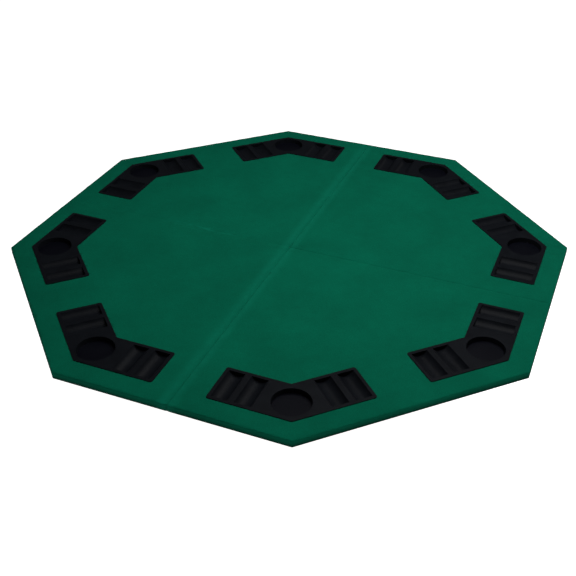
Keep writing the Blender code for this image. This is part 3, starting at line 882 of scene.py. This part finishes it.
def screw_mesh():
    """A countersunk screw with a cross recess; its head faces down at height 0."""
    head, shank = SCREW_HEAD_RADIUS, SCREW_SHANK_RADIUS
    profile = [(head - SCREW_RIM, 0.0), (head, SCREW_RIM), (shank, SCREW_HEAD_DEPTH)]
    first = SCREW_HEAD_DEPTH + SCREW_NECK
    pitch = (SCREW_LENGTH - first - SCREW_POINT) / THREAD_TURNS
    for turn in range(THREAD_TURNS):
        start = first + turn * pitch
        profile += [(shank * 0.78, start + 0.1 * pitch), (shank, start + 0.5 * pitch)]
    profile += [(shank * 0.7, SCREW_LENGTH - 1.6 * MM), (0.25 * MM, SCREW_LENGTH)]
    screw = turned(profile, 32)
    arm, wide, deep = 1.8 * MM, 0.42 * MM, 0.95 * MM
    cross = ((-arm, -wide), (-wide, -wide), (-wide, -arm), (wide, -arm), (wide, -wide),
             (arm, -wide), (arm, wide), (wide, wide), (wide, arm), (-wide, arm), (-wide, wide),
             (-arm, wide))
    screw = combine(screw, slab(cross, -1 * MM, deep), "DIFFERENCE")
    return filleted(screw, SCREW_FILLET, 2, 50)


def foot_mesh():
    """A moulded rubber bumper: round-edged, with a shallow dish in its tread."""
    height, tread, rim = FOOT_HEIGHT, FOOT_TREAD_RADIUS, FOOT_RADIUS
    profile = [(0.6 * MM, 0.7 * MM), (tread - 3.4 * MM, 0.6 * MM), (tread - 2.4 * MM, 0.12 * MM),
               (tread - 1.9 * MM, 0.0), (tread - 0.6 * MM, 0.0)]
    for step in range(1, 5):
        angle = math.pi / 2 * step / 4
        profile.append((tread - 0.6 * MM + FOOT_ROUND * math.sin(angle),
                        FOOT_ROUND * (1 - math.cos(angle))))
    profile += [(rim - 0.25 * MM, height - 0.5 * MM), (rim, height - 0.25 * MM), (rim, height)]
    return turned(profile, 64)


def pin_mesh():
    """A hinge pin with a domed head at each end, lying along Y."""
    neck = HINGE_LENGTH / 2 + PIN_OVERHANG
    dome = [(PIN_HEAD_RADIUS * math.cos(a), PIN_HEAD_LENGTH * math.sin(a))
            for a in (math.pi / 2 * k / 5 for k in range(5))]
    profile = [(r, -neck - h) for r, h in reversed(dome)] + [(PIN_RADIUS, -neck),
                                                             (PIN_RADIUS, neck)]
    profile += [(r, neck + h) for r, h in dome]
    pin = turned(profile, 32)
    pin.transform(Matrix.Rotation(math.pi / 2, 4, "X"))
    return pin


def place_copies(mesh, prefix, new_name, mat, height):
    """Puts a copy of a small piece, at a height, at each CAD node whose name has the prefix."""
    for body, members in frame["record"]["behaviour"]["bodies"].items():
        for node in members:
            if not node.startswith(prefix):
                continue
            spot = middle(node)
            spot.z = height
            copy = mesh.copy()
            copy.transform(Matrix.Translation(spot))
            make_piece(new_name + node[len(prefix):], copy, mat, body, [node])


def build_leaves(mat):
    """A west and an east leaf at each pin; the west one is turned half round."""
    west, east = leaf_mesh((0, 2, 4)), leaf_mesh((1, 3))
    for half_line, number in (("nw", 1), ("nw", 2), ("sw", 1), ("sw", 2)):
        spot = Vector((0, middle(f"hinge_pin_{half_line}_{number}").y, HINGE_AXIS_Z))
        for body, mesh, turn in ((half_line, west, math.pi),
                                 ({"nw": "ne", "sw": "se"}[half_line], east, 0.0)):
            copy = mesh.copy()
            copy.transform(Matrix.Translation(spot) @ Matrix.Rotation(turn, 4, "Z"))
            leaf = make_piece(f"rolled_leaf_{body}_{number}", copy, mat, body,
                              [f"hinge_leaf_{body}_{number}"])
            flatten_shading(leaf)


def build_foam(mat):
    """The pad under each cover: the CAD slab with its edges rounded off."""
    for panel in PANELS:
        node = "foam_pad_" + panel
        mesh = filleted(frame["nodes"][node].data.copy(), FOAM_FILLET, 2, 40)
        mesh.materials.clear()
        pad = make_piece("foam_layer_" + panel, mesh, mat, panel, [node])


def dress_boards(mat):
    """The CAD boards are shown as they are, with their edges broken."""
    for panel in PANELS:
        board = frame["nodes"]["board_" + panel]
        board.data.materials.clear()
        board.data.materials.append(mat)
        weld = board.modifiers.new("weld", "WELD")
        weld.merge_threshold = 0.01 * MM
        edge = board.modifiers.new("edges", "BEVEL")
        edge.width = BOARD_BEVEL
        edge.segments = 2
        edge.limit_method = "ANGLE"
        edge.angle_limit = math.radians(40)


# ================================ studio ======================================================
def build_stage():
    """A glowing white floor, and a white wall far off that only closes the view."""
    s = Shader("pale_floor", Roughness=0.9, Emission_Strength=1.0,
               Emission_Color=(1.0, 1.0, 1.0, 1.0))
    s.bsdf.inputs["Base Color"].default_value = (0.9, 0.9, 0.9, 1.0)
    floor_bm, wall_bm = bmesh.new(), bmesh.new()
    bmesh.ops.create_grid(floor_bm, x_segments=1, y_segments=1, size=STAGE_RADIUS)
    bmesh.ops.create_cone(wall_bm, segments=64, radius1=STAGE_RADIUS, radius2=STAGE_RADIUS,
                          depth=STAGE_RADIUS)
    for name, bm in (("floor", floor_bm), ("backdrop", wall_bm)):
        obj = bpy.data.objects.new(name, finished(name, bm))
        bpy.context.scene.collection.objects.link(obj)
        obj.location.z = FLOOR_Z
        obj.data.materials.append(s.mat)
        if name == "backdrop":
            obj.visible_diffuse = obj.visible_glossy = obj.visible_shadow = False


def build_world():
    """A soft box overhead fading to a dim horizon and a dimmer ground."""
    world = bpy.data.worlds.new("studio")
    world.use_nodes = True
    bpy.context.scene.world = world
    nodes, links = world.node_tree.nodes, world.node_tree.links
    place = nodes.new("ShaderNodeTexCoord")
    split = nodes.new("ShaderNodeSeparateXYZ")
    ramp = nodes.new("ShaderNodeValToRGB")
    stops = ramp.color_ramp.elements
    stops[0].position, stops[0].color = 0.46, (0.12, 0.12, 0.12, 1)
    stops[1].position, stops[1].color = 0.80, (0.9, 0.9, 0.9, 1)
    scale = nodes.new("ShaderNodeMath")
    scale.operation = "MULTIPLY_ADD"
    scale.inputs[1].default_value = 0.5
    scale.inputs[2].default_value = 0.5
    links.new(place.outputs["Generated"], split.inputs["Vector"])
    links.new(split.outputs["Z"], scale.inputs[0])
    links.new(scale.outputs[0], ramp.inputs["Fac"])
    background = nodes["Background"]
    links.new(ramp.outputs["Color"], background.inputs["Color"])
    background.inputs["Strength"].default_value = WORLD_STRENGTH


def add_light(name, place, target, size, power):
    data = bpy.data.lights.new(name, "AREA")
    data.shape = "RECTANGLE"
    data.size, data.size_y = size
    data.energy = power
    light = bpy.data.objects.new(name, data)
    bpy.context.scene.collection.objects.link(light)
    light.location = place
    light.rotation_euler = (Vector(target) - Vector(place)).to_track_quat("-Z", "Y").to_euler()


def build_camera():
    data = bpy.data.cameras.new("camera")
    data.lens = CAMERA_LENS
    data.sensor_width = 36
    camera = bpy.data.objects.new("camera", data)
    bpy.context.scene.collection.objects.link(camera)
    tilt, turn, roll = (math.radians(a) for a in CAMERA_TURN)
    rotation = (Matrix.Rotation(turn, 4, "Z") @ Matrix.Rotation(tilt, 4, "X")
                @ Matrix.Rotation(roll, 4, "Z"))
    camera.matrix_world = Matrix.Translation(CAMERA_PLACE) @ rotation
    bpy.context.scene.camera = camera


def main():
    mats = {"felt": felt_material(), "tray": tray_material(), "board": board_material(),
            "foam": foam_material(), "rubber": rubber_material(), "steel": steel_material(),
            "screw": screw_material()}
    build_camera()
    build_stage()
    build_world()
    for name, values in LIGHTS.items():
        add_light(name, *values)
    bpy.context.scene.view_settings.view_transform = "Standard"
    build_felt(mats["felt"])
    build_trays(mats["tray"])
    build_leaves(mats["steel"])
    place_copies(pin_mesh(), "hinge_pin_", "domed_pin_", mats["steel"], HINGE_AXIS_Z)
    place_copies(screw_mesh(), "screw_", "cross_screw_", mats["screw"], LEAF_BOTTOM)
    place_copies(foot_mesh(), "foot_", "rubber_foot_", mats["rubber"], 0.0)
    build_foam(mats["foam"])
    dress_boards(mats["board"])


main()
